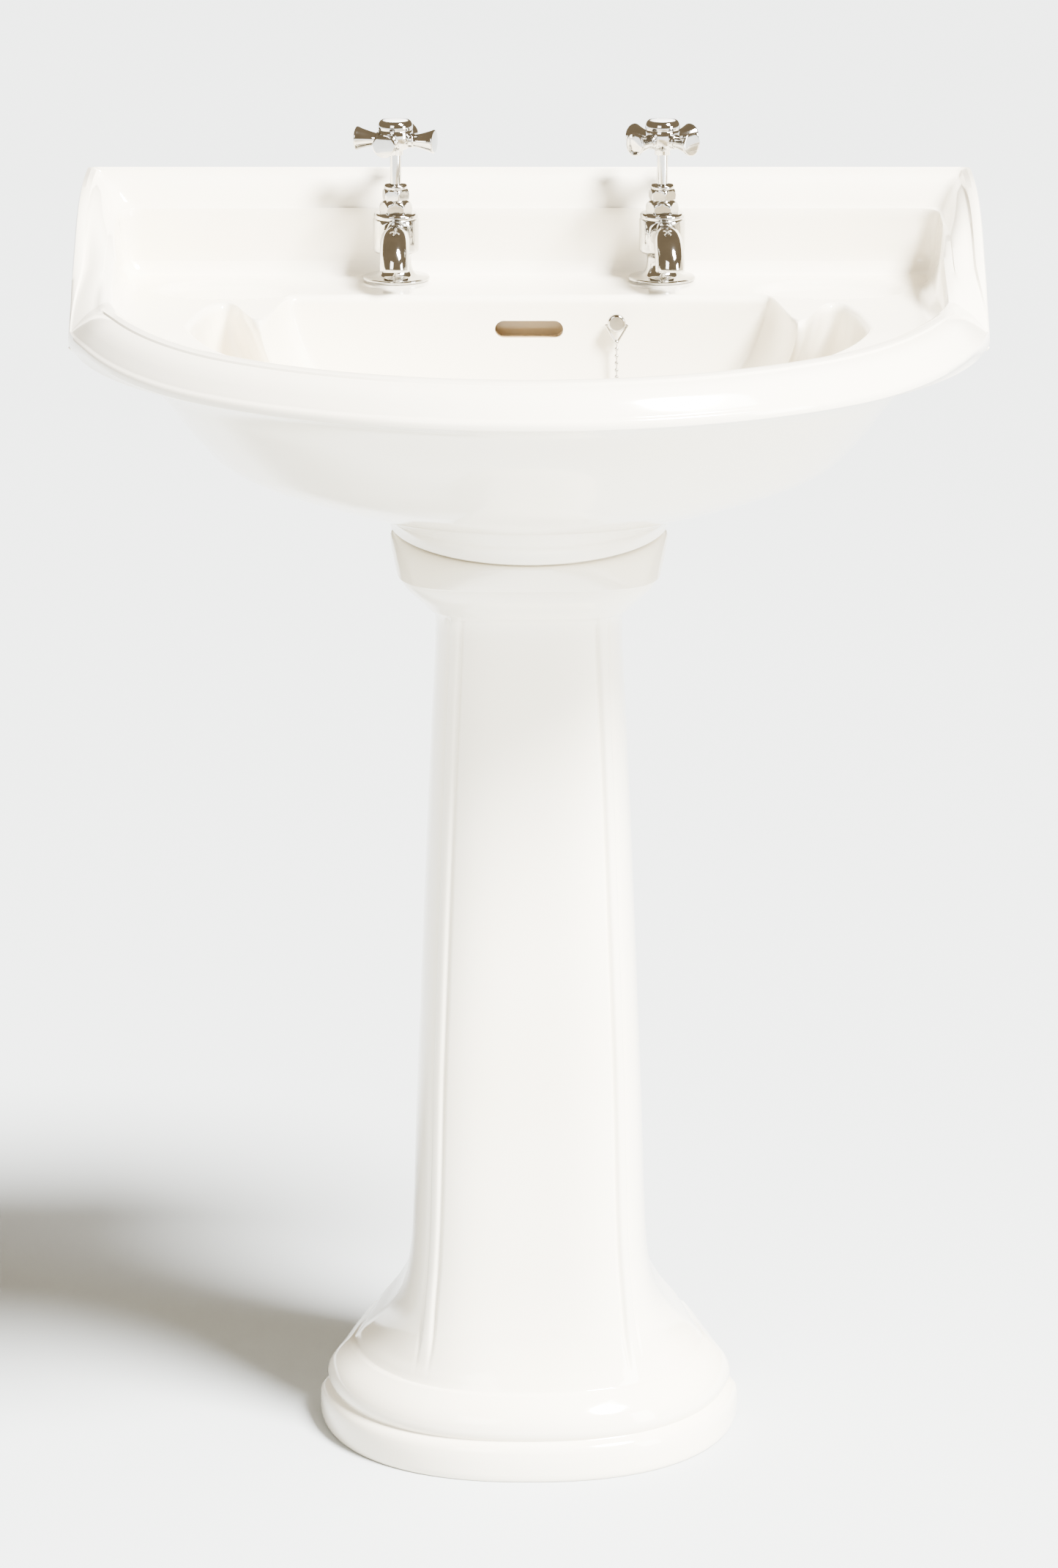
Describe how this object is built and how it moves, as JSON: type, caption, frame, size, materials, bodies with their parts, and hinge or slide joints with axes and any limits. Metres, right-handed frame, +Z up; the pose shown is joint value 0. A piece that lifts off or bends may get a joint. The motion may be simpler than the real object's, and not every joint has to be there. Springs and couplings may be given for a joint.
{
  "type": "pedestal sink",
  "caption": "Traditional china basin with a moulded upstand and bowed front on a panelled pedestal, with pillar taps, crosshead handles, slotted waste, bottle trap and plug on a ball chain.",
  "frame": {"origin": "on the floor, under the middle of the bounding box of the basin", "axes": "+X to the right of a person facing the sink, +Y towards the wall, +Z up"},
  "size_m": [0.635, 0.475, 0.9374],
  "materials": {
    "china": "gloss",
    "chrome": "polished",
    "brass": "satin",
    "rubber": "matte",
    "seat_pad": "matte",
    "plastic": "satin",
    "index": "gloss"
  },
  "bodies": {
    "root": {"basin": "china", "chain": "chrome", "chain_stay": "chrome", "chain_stirrup": "chrome", "cold_back_nut": "brass", "cold_bonnet": "chrome", "cold_deck_washer": "rubber", "cold_gland_nut": "chrome", "cold_gland_packing": "rubber", "cold_tap_body": "chrome", "cold_under_washer": "rubber", "hot_back_nut": "brass", "hot_bonnet": "chrome", "hot_deck_washer": "rubber", "hot_gland_nut": "chrome", "hot_gland_packing": "rubber", "hot_tap_body": "chrome", "hot_under_washer": "rubber", "pedestal": "china", "pedestal_seat_pad": "seat_pad", "stay_nut": "brass", "stay_washer": "rubber", "trap_body": "plastic", "trap_cup": "plastic", "trap_cup_seal": "rubber", "trap_inlet_nut": "plastic", "trap_inlet_seal": "rubber", "trap_outlet_nut": "plastic", "trap_outlet_seal": "rubber", "waste_back_nut": "brass", "waste_fitting": "chrome", "waste_pipe": "plastic", "waste_seal": "rubber", "waste_washer": "rubber"},
    "hot_rising_jumper": {"hot_jumper": "brass", "hot_valve_washer": "rubber"},
    "hot_handle": {"hot_spindle": "chrome", "hot_crosshead": "chrome", "hot_handle_screw": "brass", "hot_index": "index"},
    "cold_rising_jumper": {"cold_jumper": "brass", "cold_valve_washer": "rubber"},
    "cold_handle": {"cold_spindle": "chrome", "cold_crosshead": "chrome", "cold_handle_screw": "brass", "cold_index": "index"},
    "plug": {"plug_body": "rubber", "plug_cap": "chrome", "plug_ring": "chrome"}
  },
  "joints": [
    {"name": "hot_spindle_rise", "type": "slide", "parent": "root", "child": "hot_rising_jumper", "axis": [0, 0, 1], "range_m": [0, 0.0045]},
    {"name": "hot_handle_turn", "type": "hinge", "parent": "hot_rising_jumper", "child": "hot_handle", "pos_m": [-0.0945, 0.1855, 0.9115], "axis": [0, 0, 1], "range_deg": [0, 900]},
    {"name": "cold_spindle_rise", "type": "slide", "parent": "root", "child": "cold_rising_jumper", "axis": [0, 0, 1], "range_m": [0, 0.0045]},
    {"name": "cold_handle_turn", "type": "hinge", "parent": "cold_rising_jumper", "child": "cold_handle", "pos_m": [0.0945, 0.1855, 0.9115], "axis": [0, 0, 1], "range_deg": [0, 900]},
    {"name": "plug_lift", "type": "slide", "parent": "root", "child": "plug", "axis": [0, 0, 1], "range_m": [0, 0.04]}
  ],
  "couplings": [
    {"joint": "hot_spindle_rise", "follows": "hot_handle_turn", "m_per_rad": 0.00028648},
    {"joint": "cold_spindle_rise", "follows": "cold_handle_turn", "m_per_rad": 0.00028648}
  ]
}
